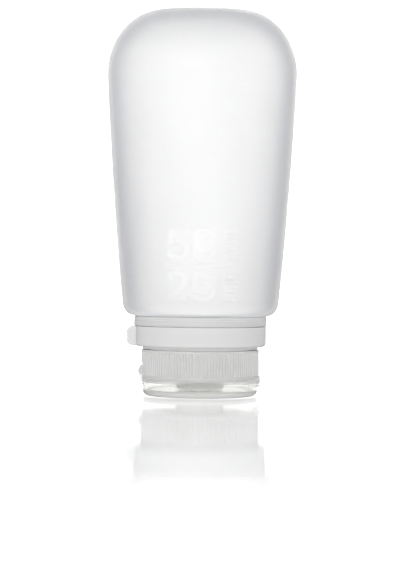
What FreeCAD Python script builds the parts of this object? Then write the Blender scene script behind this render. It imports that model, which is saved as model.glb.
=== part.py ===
"""Travel squeeze bottle of soft silicone, standing on its flip-top screw cap.

Millimetres. +Z is up, -Y is the front, and the origin is the middle of the lid's standing face.
Heights add up from the standing face and radii add up outwards from the mouth, so a change carries through.
"""

import FreeCAD, Part
import math
import os

Vector = FreeCAD.Vector
UP = Vector(0, 0, 1)
BACK = Vector(0, 1, 0)
FULL_TURN = 360.0
HALF_TURN = 180.0
QUARTER_TURN = 90.0
MM3_PER_ML = 1000.0

# Mouth of the silicone body, where the radii start
MOUTH_RADIUS = 12.6
NECK_WALL = 2.15
RIM_THICKNESS = 1.2
RIM_INSET = 0.2
SEAL_GAP = 0.2

# Body of the silicone bottle above its neck
BODY_WALL = 2.4
FLOOR_WALL = 0.8
ROOT_INSET = 0.1
ROOT_HEIGHT = 0.3
FUNNEL_DROP = 0.4
SHOULDER_REACH = 4.1
SHOULDER_REACH_DEPTH = 3.6
SHOULDER_RISE = 4.7
SIDE_HEIGHT = 77.2
SIDE_FLARE = 5.6
SIDE_BULGE = 0.45
DEPTH_TAPER = 3.5
DEPTH_BULGE = 0.5
END_CORNER_WIDTH = 19.0
END_CORNER_DEPTH = 17.5
END_CORNER_HEIGHT = 21.9
SHOULDER_SECTIONS = 6
SIDE_SECTIONS = 6
END_SECTIONS = 7
LOFT_DEGREE = 3

# Threaded collar round the silicone neck
COLLAR_FIT = 0.15
COLLAR_WALL = 1.3
BARREL_STEP = 0.45
BARREL_GAP = 0.3
BARREL_FOOT = 0.8
FLANGE_THICKNESS = 3.0
FLANGE_OVERHANG = 0.2
FLANGE_EDGE = 0.5
FLANGE_GROOVE = 0.25
FLANGE_GROOVE_DROP = 0.9

# Screw thread between collar and cap, one start, right-handed
THREAD_LEAD = 4.2
THREAD_DEPTH = 0.9
THREAD_GAP = 0.3
THREAD_ROOT_WIDTH = 1.6
THREAD_CREST_WIDTH = 0.8
THREAD_MARGIN = 0.35
THREAD_BITE = 0.15

# Hanging loop: a hinged front half and a fixed back half on the collar
LOOP_GAP = 0.3
LOOP_WIDTH = 2.5
LOOP_HEIGHT = 6.8
LOOP_TOP_GAP = 0.2
LOOP_EDGE = 1.2
LOOP_SPLIT = 0.3
LOOP_EAR = 1.5
LOOP_PIN_RADIUS = 0.75
LOOP_PIN_FIT = 0.06
LOOP_PIN_SEAT = 1.8
TURNING_GAP = 0.25
SWING_ROOM = 1.1
EAR_WEB = 1.0
CATCH_RADIUS = 0.45
CATCH_GAP = 0.15
CATCH_MARGIN = 1.2
TAB_REACH = 2.55
TAB_WIDTH = 5.0
TAB_CORNER = 2.0
TAB_SINK = 1.4
TAB_FOOT = 0.3
TAB_EDGE = 0.5

# Screw cap with its ribbed skirt and nozzle
PARTING_GAP = 0.15
CAP_WALL = 2.55
CAP_HEIGHT = 10.05
CAP_DECK = 1.8
CAP_EDGE = 0.35
RIB_COUNT = 120
RIB_DEPTH = 0.3
RIB_FOOT_MARGIN = 1.5
RIB_END_MARGIN = 0.9
RIB_CREST_SHARE = 0.42
RIB_ROOT_SHARE = 0.26
NOZZLE_WALL = 1.8
NOZZLE_EDGE = 0.5
NOZZLE_TIP_GAP = 0.4
ORIFICE_LEDGE = 2.2
ORIFICE_PLATE = 0.9

# Slit valve and the ring that holds it in the nozzle
VALVE_SEAT_RADIUS = 6.2
VALVE_FIT = 0.1
VALVE_FLANGE = 1.2
VALVE_LEDGE = 2.6
VALVE_DISH_SLOPE = 0.9
VALVE_DISH_RISE = 1.1
VALVE_MEMBRANE = 0.7
SLIT_MARGIN = 0.4
SLIT_WIDTH = 0.12
RETAINER_WALL = 1.75
RETAINER_FIT = 0.06
RETAINER_BEAD = 0.25
RETAINER_BEAD_HEIGHT = 0.8

# Flip lid, clear, with its thumb lip and plug
LID_HEIGHT = 5.4
LID_STEP = 0.12
LID_DRAFT = 0.45
LID_WALL = 1.5
LID_PLATE = 1.8
LID_EDGE = 1.7
LID_INNER_EDGE = 0.6
PLUG_GAP = 0.35
PLUG_WALL = 1.1
PLUG_ENTRY = 0.65
LIP_HALF_WIDTH = 15.0
LIP_REACH = 0.42
LIP_THICKNESS = 1.35
LIP_RISE = 1.25
LIP_DROP = 2.2
LIP_END_DROP = 0.6
LIP_CLEARANCE = 0.3
LIP_TOP_CLEARANCE = 0.5

# Lid hinge: a pin through two ears of the cap and the lid's knuckle
HINGE_PIN_RADIUS = 0.7
HINGE_PIN_FIT = 0.06
PRESS_FIT = 0.01
KNUCKLE_WALL = 0.65
KNUCKLE_HALF_WIDTH = 4.0
KNUCKLE_SIDE_GAP = 0.2
EAR_WIDTH = 2.0
PIN_END_INSET = 0.2
HINGE_RISE = 3.1
POCKET_SKIN = 0.55
POCKET_GAP = 0.25
POCKET_RISE = 1.1
STRAP_DROP = 1.5
STRAP_BITE = 0.1

# One overrun serves every cut that runs past a face
OVERRUN = 1.0

# Heights, from the standing face up
cap_foot = LID_HEIGHT + PARTING_GAP
deck_top = cap_foot + CAP_DECK
rim_foot = deck_top + SEAL_GAP
collar_foot = rim_foot + RIM_THICKNESS
cap_end = cap_foot + CAP_HEIGHT
barrel_foot = cap_end + BARREL_GAP
loop_foot = barrel_foot + BARREL_FOOT
loop_top = loop_foot + LOOP_HEIGHT
flange_foot = loop_top + LOOP_TOP_GAP
flange_top = flange_foot + FLANGE_THICKNESS
root_top = flange_top + ROOT_HEIGHT
side_foot = root_top + SHOULDER_RISE
side_top = side_foot + SIDE_HEIGHT
body_top = side_top + END_CORNER_HEIGHT
nozzle_tip = LID_PLATE + NOZZLE_TIP_GAP
valve_foot = nozzle_tip + ORIFICE_PLATE
valve_top = valve_foot + VALVE_FLANGE
hinge_height = cap_foot + HINGE_RISE

# Radii of the nozzle's stack, from the valve's seat, then of the rest, from the mouth out
nozzle_radius = VALVE_SEAT_RADIUS + NOZZLE_WALL
orifice_radius = VALVE_SEAT_RADIUS - ORIFICE_LEDGE
valve_radius = VALVE_SEAT_RADIUS - VALVE_FIT
dish_radius = valve_radius - VALVE_LEDGE
dish_flat = dish_radius - VALVE_DISH_SLOPE
retainer_radius = VALVE_SEAT_RADIUS - RETAINER_FIT
retainer_bore = retainer_radius - RETAINER_WALL
neck_radius = MOUTH_RADIUS + NECK_WALL
collar_bore = neck_radius + COLLAR_FIT
thread_root = collar_bore + COLLAR_WALL
thread_crest = thread_root + THREAD_DEPTH
rim_radius = thread_root - RIM_INSET
cap_bore = thread_crest + THREAD_GAP
cap_radius = cap_bore + CAP_WALL
barrel_radius = cap_radius - BARREL_STEP
loop_inside = barrel_radius + LOOP_GAP
loop_outside = loop_inside + LOOP_WIDTH
loop_middle = loop_inside + LOOP_WIDTH / 2
loop_knuckle = LOOP_WIDTH / 2
flange_radius = loop_outside + FLANGE_OVERHANG
root_radius = flange_radius - ROOT_INSET
lid_radius = cap_radius - LID_STEP
knuckle_radius = HINGE_PIN_RADIUS + KNUCKLE_WALL
pocket_floor = cap_bore + POCKET_SKIN
hinge_reach = pocket_floor + POCKET_GAP + knuckle_radius
ear_inside = KNUCKLE_HALF_WIDTH + KNUCKLE_SIDE_GAP
ear_outside = ear_inside + EAR_WIDTH


def cylinder(radius, low, high, x=0.0):
    """Upright cylinder between two heights, on the bottle's axis or at a place along X."""
    return Part.makeCylinder(radius, high - low, Vector(x, 0, low))


def tube(inside, outside, low, high):
    """Upright ring between two radii and two heights."""
    return cylinder(outside, low, high).cut(cylinder(inside, low - OVERRUN, high + OVERRUN))


def cross_cylinder(radius, x, height, front, back):
    """Cylinder along Y at a place in the X-Z plane."""
    return Part.makeCylinder(radius, back - front, Vector(x, front, height), BACK)


def lying_cylinder(radius, height, reach):
    """Cylinder along X from the middle plane to a reach, with its axis at a height."""
    return Part.makeCylinder(radius, reach, Vector(0, 0, height), Vector(1, 0, 0))


def block(low, high):
    """Box between two corners given as (x, y, z)."""
    size = Vector(*high) - Vector(*low)
    return Part.makeBox(size.x, size.y, size.z, Vector(*low))


def line(start, end):
    """Straight edge between two (radius, height) points of an upright profile."""
    return Part.makeLine(Vector(start[0], 0, start[1]), Vector(end[0], 0, end[1]))


def arc(start, middle, end):
    """Round edge through three (radius, height) points of an upright profile."""
    return Part.Arc(*[Vector(p[0], 0, p[1]) for p in (start, middle, end)]).toShape()


def rounded(corner, radius, side, foot):
    """Quarter round at a corner; side and foot are +1 or -1 towards the inside of the profile."""
    centre = (corner[0] + side * radius, corner[1] + foot * radius)
    slant = radius * math.sqrt(0.5)
    middle = (centre[0] - side * slant, centre[1] - foot * slant)
    return (corner[0] + side * radius, corner[1]), middle, (corner[0], corner[1] + foot * radius)


def turned(edges):
    """Solid of revolution about the bottle's axis from the edges of a closed profile."""
    face = Part.Face(Part.Wire(Part.__sortEdges__(edges)))
    return face.revolve(Vector(0, 0, 0), UP, FULL_TURN)


def profile_of(points):
    """Straight edges that close a list of (radius, height) points."""
    return [line(a, b) for a, b in zip(points, points[1:] + points[:1])]


def clean(shape):
    """The shape's only solid, with faces that continue each other joined."""
    solid = shape.removeSplitter()
    return solid.Solids[0] if len(solid.Solids) == 1 else solid


def body_sections(inset, floor):
    """Half width, half depth and height of the oval sections, from a floor's thickness up to the closed end."""
    sections = []
    for i in range(SHOULDER_SECTIONS):
        turn = math.radians(QUARTER_TURN * (i / SHOULDER_SECTIONS - 1))
        sections.append((
            root_radius + (SHOULDER_REACH - inset) * math.cos(turn),
            root_radius + (SHOULDER_REACH_DEPTH - inset) * math.cos(turn),
            side_foot + (SHOULDER_RISE - floor) * math.sin(turn),
        ))
    foot_width = root_radius + SHOULDER_REACH - inset
    foot_depth = root_radius + SHOULDER_REACH_DEPTH - inset
    for i in range(SIDE_SECTIONS):
        share = i / SIDE_SECTIONS
        swell = 4 * share * (1 - share)
        sections.append((
            foot_width + SIDE_FLARE * share + SIDE_BULGE * swell,
            foot_depth - DEPTH_TAPER * share + DEPTH_BULGE * swell,
            side_foot + SIDE_HEIGHT * share,
        ))
    end_width = foot_width + SIDE_FLARE - (END_CORNER_WIDTH - inset)
    end_depth = foot_depth - DEPTH_TAPER - (END_CORNER_DEPTH - inset)
    for i in range(END_SECTIONS + 1):
        turn = math.radians(QUARTER_TURN * i / END_SECTIONS)
        sections.append((
            end_width + (END_CORNER_WIDTH - inset) * math.cos(turn),
            end_depth + (END_CORNER_DEPTH - inset) * math.cos(turn),
            side_top + (END_CORNER_HEIGHT - inset) * math.sin(turn),
        ))
    return sections


def oval(half_width, half_depth, height):
    """Closed oval wire at a height: two unit half circles drawn out to the two half sizes."""
    stretch = FreeCAD.Matrix()
    stretch.A11 = half_width
    stretch.A22 = half_depth
    stretch.A34 = height
    back = Part.makeCircle(1, Vector(0, 0, 0), UP, 0, HALF_TURN)
    front = Part.makeCircle(1, Vector(0, 0, 0), UP, HALF_TURN, FULL_TURN)
    return Part.Wire(back.transformGeometry(stretch).Edges + front.transformGeometry(stretch).Edges)


def body_form(inset, floor):
    """Closed solid of the body's outside, or of its cavity when inset by the wall and the floor."""
    wires = [oval(*section) for section in body_sections(inset, floor)]
    return Part.makeLoft(wires, True, False, False, LOFT_DEGREE)


def squeeze_body():
    """Silicone bottle: oval body, round neck through the collar, and a rim folded over the collar's end."""
    outside = body_form(0, 0)
    outside = outside.fuse(cylinder(root_radius, flange_top, root_top))
    outside = outside.fuse(cylinder(neck_radius, collar_foot, flange_top))
    outside = outside.fuse(cylinder(rim_radius, rim_foot, collar_foot))
    cavity = body_form(BODY_WALL, FLOOR_WALL)
    cavity_foot = root_top + FLOOR_WALL
    funnel_foot = cavity_foot - FUNNEL_DROP
    funnel = Part.makeCone(MOUTH_RADIUS, root_radius, FUNNEL_DROP, Vector(0, 0, funnel_foot))
    cavity = cavity.fuse(funnel).fuse(cylinder(MOUTH_RADIUS, rim_foot - OVERRUN, funnel_foot))
    print("capacity to the rim, ml:", round(cavity.Volume / MM3_PER_ML, 1))
    return clean(outside.cut(cavity))


def thread_ridge(radius, outward, low, high, phase_height):
    """Helical ridge on a wall between two heights; phase_height is where its helix crosses +X."""
    centre_low = low + THREAD_MARGIN + THREAD_ROOT_WIDTH / 2
    centre_high = high - THREAD_MARGIN - THREAD_ROOT_WIDTH / 2
    root = radius - outward * THREAD_BITE
    crest = radius + outward * THREAD_DEPTH
    corners = [
        Vector(root, 0, -THREAD_ROOT_WIDTH / 2),
        Vector(crest, 0, -THREAD_CREST_WIDTH / 2),
        Vector(crest, 0, THREAD_CREST_WIDTH / 2),
        Vector(root, 0, THREAD_ROOT_WIDTH / 2),
    ]
    section = Part.makePolygon(corners + corners[:1])
    path = Part.Wire(Part.makeHelix(THREAD_LEAD, centre_high - centre_low, radius).Edges)
    ridge = path.makePipeShell([section], True, True)
    ridge.rotate(Vector(0, 0, 0), UP, FULL_TURN * (centre_low - phase_height) / THREAD_LEAD)
    ridge.translate(UP * centre_low)
    return ridge


def loop_ring():
    """Whole ring of the hanging loop, round on its lower outside edge, before it is split in two halves."""
    foot = rounded((loop_outside, loop_foot), LOOP_EDGE, -1, 1)
    edges = [
        line((loop_inside, loop_foot), foot[0]),
        arc(*foot),
        line(foot[2], (loop_outside, loop_top)),
        line((loop_outside, loop_top), (loop_inside, loop_top)),
        line((loop_inside, loop_top), (loop_inside, loop_foot)),
    ]
    return turned(edges)


def half_space(front, back):
    """Block that holds what of the loop lies between two places along Y."""
    reach = flange_radius + TAB_REACH + OVERRUN
    return block((-reach, front, loop_foot - OVERRUN), (reach, back, loop_top + OVERRUN))


def collar_shell():
    """Turned part of the collar: threaded neck, barrel behind the loop, and flange under the body."""
    edge = rounded((flange_radius, flange_top), FLANGE_EDGE, -1, -1)
    groove = flange_top - FLANGE_GROOVE_DROP
    profile = [
        line((collar_bore, collar_foot), (thread_root, collar_foot)),
        line((thread_root, collar_foot), (thread_root, barrel_foot)),
        line((thread_root, barrel_foot), (barrel_radius, barrel_foot)),
        line((barrel_radius, barrel_foot), (barrel_radius, flange_foot)),
        line((barrel_radius, flange_foot), (flange_radius, flange_foot)),
        line((flange_radius, flange_foot), edge[2]),
        arc(*edge),
        line(edge[0], (collar_bore, flange_top)),
        line((collar_bore, flange_top), (collar_bore, collar_foot)),
    ]
    cut = tube(flange_radius - FLANGE_GROOVE, flange_radius + OVERRUN, groove - FLANGE_GROOVE, groove)
    return turned(profile).cut(cut)


def collar():
    """Hard collar with its thread, the fixed back half of the loop, the hinge ear and the catch."""
    ear_top = loop_foot + LOOP_EAR
    ring = loop_ring()
    bridge = tube(barrel_radius - LOOP_GAP, loop_inside + LOOP_GAP, loop_foot, loop_top)
    back_half = ring.fuse(bridge).common(half_space(0, flange_radius + OVERRUN))
    swing_room = cylinder(
        loop_knuckle + SWING_ROOM, loop_foot - OVERRUN, loop_top + OVERRUN, loop_middle
    )
    swing_room = swing_room.cut(cylinder(barrel_radius, loop_foot - OVERRUN, loop_top + OVERRUN))
    back_half = back_half.cut(swing_room)
    ear = ring.common(cylinder(loop_knuckle, loop_foot, ear_top, loop_middle))
    web = block(
        (barrel_radius - LOOP_GAP, -EAR_WEB / 2, loop_foot), (loop_middle, EAR_WEB / 2, ear_top)
    )
    catch = cylinder(CATCH_RADIUS, loop_foot + CATCH_MARGIN, loop_top - CATCH_MARGIN, -loop_middle)
    shell = collar_shell()
    for piece in (
        back_half,
        ear,
        web,
        catch,
        thread_ridge(thread_root, 1, collar_foot, barrel_foot, collar_foot),
    ):
        shell = shell.fuse(piece)
    pin_hole = cylinder(
        LOOP_PIN_RADIUS + PRESS_FIT, loop_foot - OVERRUN, flange_foot + LOOP_PIN_SEAT, loop_middle
    )
    return clean(shell.cut(pin_hole))


def loop_tab():
    """Thumb tab that stands out at the loop's free end, round on its two outer corners."""
    outside = -(loop_outside + TAB_REACH)
    inside = -(loop_outside - TAB_SINK)
    foot = loop_foot + TAB_FOOT
    low = rounded((outside, foot), TAB_CORNER, 1, 1)
    high = rounded((outside, loop_top), TAB_CORNER, 1, -1)
    edges = [
        line((inside, foot), low[0]),
        arc(*low),
        line(low[2], high[2]),
        arc(*high),
        line(high[0], (inside, loop_top)),
        line((inside, loop_top), (inside, foot)),
    ]
    face = Part.Face(Part.Wire(Part.__sortEdges__(edges)))
    face.translate(Vector(0, -LOOP_SPLIT, 0))
    tab = face.extrude(Vector(0, -TAB_WIDTH, 0))
    front = -LOOP_SPLIT - TAB_WIDTH
    rims = [
        e for e in tab.Edges
        if abs(e.BoundBox.YMin - front) < TAB_EDGE and abs(e.BoundBox.YMax - front) < TAB_EDGE
        and e.BoundBox.XMin < -loop_outside
    ]
    return tab.makeFillet(TAB_EDGE, rims)


def loop_arm():
    """Front half of the hanging loop, which swings out about its pin, with tab and groove at its free end."""
    ear_top = loop_foot + LOOP_EAR
    reach = flange_radius + TAB_REACH + OVERRUN
    front_half = loop_ring().common(half_space(-reach, 0))
    end_cut = block(
        (-reach, -LOOP_SPLIT, loop_foot - OVERRUN), (0, OVERRUN, loop_top + OVERRUN)
    )
    front_half = front_half.cut(end_cut)
    knuckle = cylinder(loop_knuckle, ear_top + TURNING_GAP, loop_top, loop_middle)
    arm = front_half.fuse(knuckle).fuse(loop_tab())
    ear_room = cylinder(
        loop_knuckle + TURNING_GAP, loop_foot - OVERRUN, ear_top + TURNING_GAP, loop_middle
    )
    pin_hole = cylinder(
        LOOP_PIN_RADIUS + LOOP_PIN_FIT, loop_foot, loop_top + OVERRUN, loop_middle
    )
    groove = cylinder(
        CATCH_RADIUS + CATCH_GAP, loop_foot - OVERRUN, loop_top + OVERRUN, -loop_middle
    )
    return clean(arm.cut(ear_room).cut(pin_hole).cut(groove))


def loop_hinge_pin():
    """Upright pin of the hanging loop, from the collar's ear into its flange."""
    return cylinder(
        LOOP_PIN_RADIUS, loop_foot + PIN_END_INSET, flange_foot + LOOP_PIN_SEAT - PIN_END_INSET, loop_middle
    )


def rib_ring(low, high):
    """Ribbed band of the skirt: a star outline of flat-topped ribs, drawn upwards."""
    pitch = 2 * math.pi / RIB_COUNT
    crest = pitch * RIB_CREST_SHARE / 2
    root = pitch * (1 - RIB_ROOT_SHARE) / 2
    corners = []
    for i in range(RIB_COUNT):
        middle = i * pitch
        for turn, radius in (
            (middle - root, cap_radius - RIB_DEPTH),
            (middle - crest, cap_radius),
            (middle + crest, cap_radius),
            (middle + root, cap_radius - RIB_DEPTH),
        ):
            corners.append(Vector(radius * math.cos(turn), radius * math.sin(turn), low))
    outline = Part.Face(Part.makePolygon(corners + corners[:1]))
    return outline.extrude(UP * (high - low))


def skirt_and_deck():
    """Skirt with its ribbed band, and the deck across it, before the nozzle and thread."""
    rib_foot = cap_foot + RIB_FOOT_MARGIN
    rib_end = cap_end - RIB_END_MARGIN
    edge = rounded((cap_radius, cap_end), CAP_EDGE, -1, -1)
    lower = cylinder(cap_radius, cap_foot, rib_foot)
    upper = turned([
        line((0, rib_end), (cap_radius, rib_end)),
        line((cap_radius, rib_end), edge[2]),
        arc(*edge),
        line(edge[0], (0, cap_end)),
        line((0, cap_end), (0, rib_end)),
    ])
    whole = lower.fuse(rib_ring(rib_foot, rib_end)).fuse(upper)
    return whole.cut(cylinder(cap_bore, deck_top, cap_end + OVERRUN))


def retainer_outline(fit):
    """Edges of the valve retainer's solid outline, grown by a fit to make its seat."""
    middle = (valve_top + deck_top) / 2
    side = retainer_radius + fit
    bead = side + RETAINER_BEAD
    half = RETAINER_BEAD_HEIGHT / 2 + fit
    return [
        (0, valve_top),
        (side, valve_top),
        (side, middle - half),
        (bead, middle),
        (side, middle + half),
        (side, deck_top),
        (0, deck_top),
    ]


def hinge_ears():
    """The cap's two hinge ears beside the lid's knuckle, each with a web back to the skirt."""
    ears = None
    for front in (-ear_outside, ear_inside):
        ear = cross_cylinder(knuckle_radius, -hinge_reach, hinge_height, front, front + EAR_WIDTH)
        web = block(
            (-hinge_reach, front, hinge_height - knuckle_radius),
            (-pocket_floor, front + EAR_WIDTH, hinge_height + knuckle_radius),
        )
        ear = ear.fuse(web)
        ears = ear if ears is None else ears.fuse(ear)
    return ears


def arch_radius(rise):
    """Radius of an arch over the thumb lip's width with the given rise in its middle."""
    return (LIP_HALF_WIDTH ** 2 + rise ** 2) / (2 * rise)


def thumb_lip(grow, top_grow, low):
    """Crescent of the thumb lip at +X under its arched top; the grows make the room for it in the cap."""
    tip = cap_radius + LIP_REACH
    start = math.sqrt(lid_radius ** 2 - LIP_HALF_WIDTH ** 2)
    centre = (tip ** 2 - lid_radius ** 2) / (2 * (tip - start))
    inside = tip - LIP_THICKNESS
    top = LID_HEIGHT + LIP_RISE
    high = top + top_grow + OVERRUN
    reach = tip + grow + OVERRUN
    half_width = LIP_HALF_WIDTH + grow
    crescent = cylinder(tip - centre + grow, low, high, centre)
    crescent = crescent.cut(cylinder(inside - grow, low - OVERRUN, high + OVERRUN))
    keep = block((0, -half_width, low), (reach, half_width, high))
    crown = arch_radius(LIP_RISE)
    return crescent.common(keep).common(lying_cylinder(crown + top_grow, top - crown, reach))


def screw_cap():
    """Screw cap: ribbed skirt, deck, nozzle with valve seat, inside thread, hinge ears and lip room."""
    tip = rounded((nozzle_radius, nozzle_tip), NOZZLE_EDGE, -1, 1)
    nozzle = turned([
        line((0, nozzle_tip), tip[0]),
        arc(*tip),
        line(tip[2], (nozzle_radius, cap_foot)),
        line((nozzle_radius, cap_foot), (0, cap_foot)),
        line((0, cap_foot), (0, nozzle_tip)),
    ])
    cap = skirt_and_deck().fuse(nozzle)
    cap = cap.cut(cylinder(orifice_radius, nozzle_tip - OVERRUN, valve_foot + OVERRUN))
    cap = cap.cut(cylinder(VALVE_SEAT_RADIUS, valve_foot, deck_top + OVERRUN))
    cap = cap.cut(turned(profile_of(retainer_outline(RETAINER_FIT))))
    pocket = block(
        (-hinge_reach - knuckle_radius - OVERRUN, -ear_inside, cap_foot - OVERRUN),
        (-pocket_floor, ear_inside, hinge_height + knuckle_radius + POCKET_RISE),
    )
    cap = cap.fuse(hinge_ears()).cut(pocket)
    pin_end = ear_outside + OVERRUN
    cap = cap.cut(cross_cylinder(
        HINGE_PIN_RADIUS + PRESS_FIT, -hinge_reach, hinge_height, -pin_end, pin_end
    ))
    cap = cap.cut(thumb_lip(LIP_CLEARANCE, LIP_TOP_CLEARANCE, cap_foot - OVERRUN))
    ridge = thread_ridge(cap_bore, -1, deck_top, cap_end, collar_foot + THREAD_LEAD / 2)
    return clean(cap.fuse(ridge))


def nozzle_valve():
    """Silicone slit valve: flange on the nozzle's plate and a raised membrane with crossed slits."""
    under = valve_foot + VALVE_DISH_RISE
    valve = turned(profile_of([
        (0, under),
        (dish_flat, under),
        (dish_radius, valve_foot),
        (valve_radius, valve_foot),
        (valve_radius, valve_top),
        (dish_radius, valve_top),
        (dish_flat, under + VALVE_MEMBRANE),
        (0, under + VALVE_MEMBRANE),
    ]))
    half_length = dish_flat - SLIT_MARGIN
    half_width = SLIT_WIDTH / 2
    for x, y in ((half_length, half_width), (half_width, half_length)):
        valve = valve.cut(block((-x, -y, valve_foot - OVERRUN), (x, y, valve_top + OVERRUN)))
    return clean(valve)


def valve_retainer():
    """Ring snapped in over the valve's flange, with a bead in the nozzle's groove."""
    ring = turned(profile_of(retainer_outline(0)))
    return clean(ring.cut(cylinder(retainer_bore, valve_top - OVERRUN, deck_top + OVERRUN)))


def lid_cup():
    """Lid as a shallow cup: standing plate, leaning wall, round outer edge and a plug for the nozzle."""
    foot_radius = lid_radius - LID_DRAFT
    inner_rim = lid_radius - LID_WALL
    inner_foot = foot_radius - LID_WALL
    outer = rounded((foot_radius, 0), LID_EDGE, -1, 1)
    inner = rounded((inner_foot, LID_PLATE), LID_INNER_EDGE, -1, 1)
    cup = turned([
        line((0, 0), outer[0]),
        arc(*outer),
        line(outer[2], (lid_radius, LID_HEIGHT)),
        line((lid_radius, LID_HEIGHT), (inner_rim, LID_HEIGHT)),
        line((inner_rim, LID_HEIGHT), inner[2]),
        arc(*inner),
        line(inner[0], (0, LID_PLATE)),
        line((0, LID_PLATE), (0, 0)),
    ])
    plug_radius = orifice_radius - PLUG_GAP
    plug = tube(plug_radius - PLUG_WALL, plug_radius, LID_PLATE, nozzle_tip + PLUG_ENTRY)
    return cup.fuse(plug)


def flip_lid():
    """Clear flip lid: the cup, its thumb lip at +X, and the hinge strap and knuckle at -X."""
    strap_foot = LID_HEIGHT - STRAP_DROP
    inner = hinge_reach - knuckle_radius
    corners = [
        (-(lid_radius - STRAP_BITE), strap_foot),
        (-(hinge_reach + knuckle_radius), hinge_height),
        (-inner, hinge_height),
        (-inner, strap_foot),
    ]
    strap = Part.Face(Part.Wire(profile_of(corners)))
    strap.translate(Vector(0, -KNUCKLE_HALF_WIDTH, 0))
    strap = strap.extrude(BACK * (2 * KNUCKLE_HALF_WIDTH))
    knuckle = cross_cylinder(
        knuckle_radius, -hinge_reach, hinge_height, -KNUCKLE_HALF_WIDTH, KNUCKLE_HALF_WIDTH
    )
    pin_hole = cross_cylinder(
        HINGE_PIN_RADIUS + HINGE_PIN_FIT, -hinge_reach, hinge_height, -ear_outside, ear_outside
    )
    lip_foot = LID_HEIGHT - LIP_DROP
    trough = arch_radius(LIP_DROP - LIP_END_DROP)
    lip = thumb_lip(0, 0, lip_foot).common(lying_cylinder(trough, lip_foot + trough, cap_radius + OVERRUN))
    return clean(lid_cup().fuse(strap).fuse(knuckle).fuse(lip).cut(pin_hole))


def lid_hinge_pin():
    """Pin of the lid's hinge, pressed into the cap's ears."""
    end = ear_outside - PIN_END_INSET
    return cross_cylinder(HINGE_PIN_RADIUS, -hinge_reach, hinge_height, -end, end)


def main():
    """Builds every piece, checks that it is one valid solid, and writes it to its own STEP file."""
    os.makedirs("parts", exist_ok=True)
    for make in (
        squeeze_body,
        collar,
        loop_arm,
        loop_hinge_pin,
        screw_cap,
        nozzle_valve,
        valve_retainer,
        flip_lid,
        lid_hinge_pin,
    ):
        piece = make()
        volume = round(piece.Volume, 1)
        print(make.__name__, "valid", piece.isValid(), "solids", len(piece.Solids), "mm3", volume)
        piece.exportStep("parts/%s.step" % make.__name__)
    print("height to the closed end, mm:", round(body_top, 2))
    print("hinge of the lid:", round(-hinge_reach, 3), round(hinge_height, 3))
    print("hinge of the loop:", round(loop_middle, 3), "radii of the loop:", loop_inside, loop_outside)


main()
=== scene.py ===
"""Dresses the travel squeeze bottle and stands it on a pale, glossy studio floor.

Sizes in the classes are in millimetres; MM turns them into the frame's metres. Colours are linear.
"""

import logging
import math
from dataclasses import dataclass
from enum import Enum

import bmesh
import bpy
import numpy as np
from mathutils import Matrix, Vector


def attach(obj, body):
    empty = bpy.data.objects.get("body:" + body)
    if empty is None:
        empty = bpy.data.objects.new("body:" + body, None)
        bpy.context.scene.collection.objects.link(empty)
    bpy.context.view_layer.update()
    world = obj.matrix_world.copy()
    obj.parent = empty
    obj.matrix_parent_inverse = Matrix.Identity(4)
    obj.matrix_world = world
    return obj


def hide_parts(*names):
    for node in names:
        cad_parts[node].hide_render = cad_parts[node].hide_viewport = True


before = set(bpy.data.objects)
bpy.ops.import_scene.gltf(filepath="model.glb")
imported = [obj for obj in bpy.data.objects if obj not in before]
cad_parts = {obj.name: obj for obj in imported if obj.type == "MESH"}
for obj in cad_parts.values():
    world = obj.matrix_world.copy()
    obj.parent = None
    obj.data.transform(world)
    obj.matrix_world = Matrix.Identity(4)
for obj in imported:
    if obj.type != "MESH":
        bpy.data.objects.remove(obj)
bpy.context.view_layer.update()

MM = 0.001
RAISED = "raised"
BLACK = (0.0, 0.0, 0.0)
Colour = tuple[float, float, float]
Place = tuple[float, float, float]
Pair = tuple[float, float]
Ring = list[bmesh.types.BMVert]
Socket = bpy.types.NodeSocket
log = logging.getLogger("squeeze_bottle")


class Solid(str, Enum):
    """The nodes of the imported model."""

    BODY = "squeeze_body"
    COLLAR = "collar"
    LOOP = "loop_arm"
    LOOP_PIN = "loop_hinge_pin"
    CAP = "screw_cap"
    RETAINER = "valve_retainer"
    VALVE = "nozzle_valve"
    LID_PIN = "lid_hinge_pin"
    LID = "flip_lid"


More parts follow.
